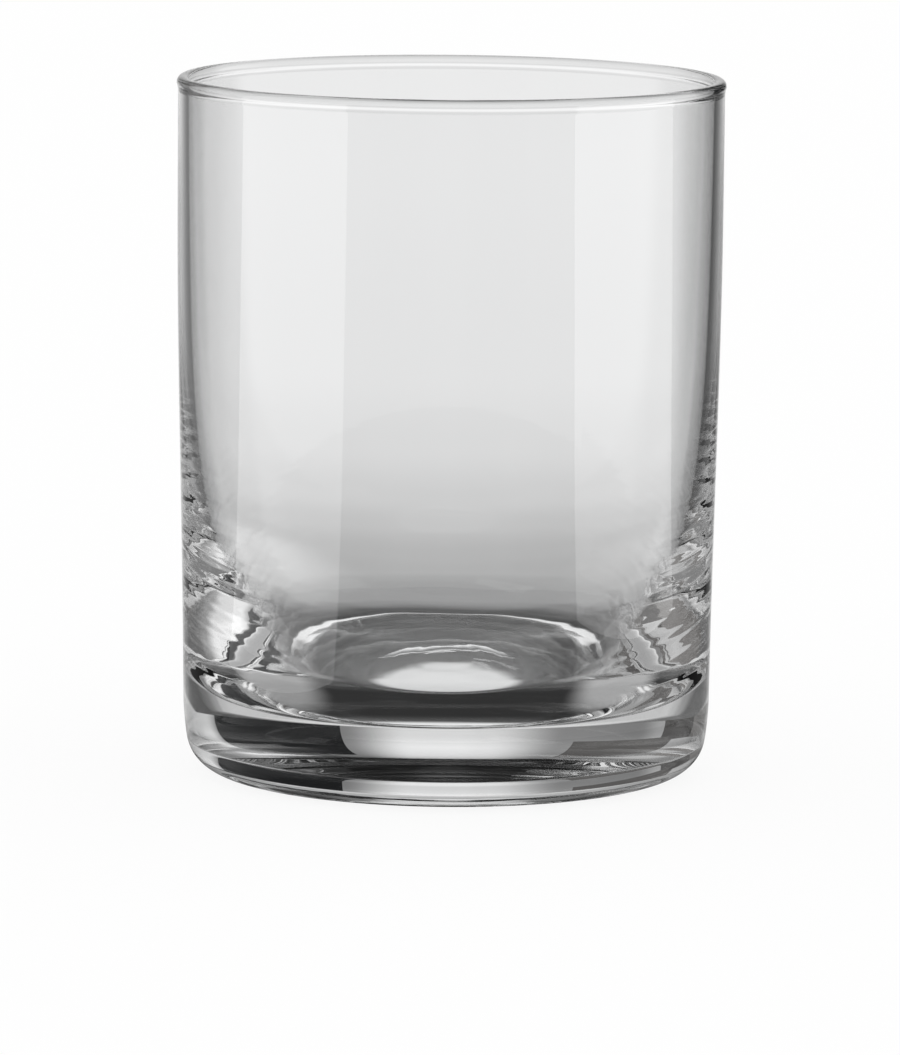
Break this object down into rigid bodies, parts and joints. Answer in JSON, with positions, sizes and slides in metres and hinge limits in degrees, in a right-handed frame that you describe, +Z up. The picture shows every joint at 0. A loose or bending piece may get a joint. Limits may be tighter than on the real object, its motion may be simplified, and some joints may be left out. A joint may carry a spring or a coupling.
{
  "type": "rocks glass",
  "caption": "Straight-sided clear rocks glass with a thick solid base, a wall that thickens towards the floor and a rounded fire-polished rim, for short drinks over ice.",
  "frame": {"origin": "centre of the ring that the glass stands on, at table height", "axes": "+Z up along the axis of the glass, from the base to the rim; +X and +Y are any two directions across it, because the glass is round"},
  "size_m": [0.0824, 0.0824, 0.105],
  "materials": {
    "base_glass": "clear colourless soda-lime glass, thick and solid, smooth and glossy",
    "wall_glass": "clear colourless soda-lime glass, glossy, with faint ripples from blowing on the inside",
    "rim_glass": "clear colourless soda-lime glass, fire-polished"
  },
  "bodies": {
    "root": {"base": "base_glass", "wall": "wall_glass", "rim": "rim_glass"}
  },
  "joints": []
}
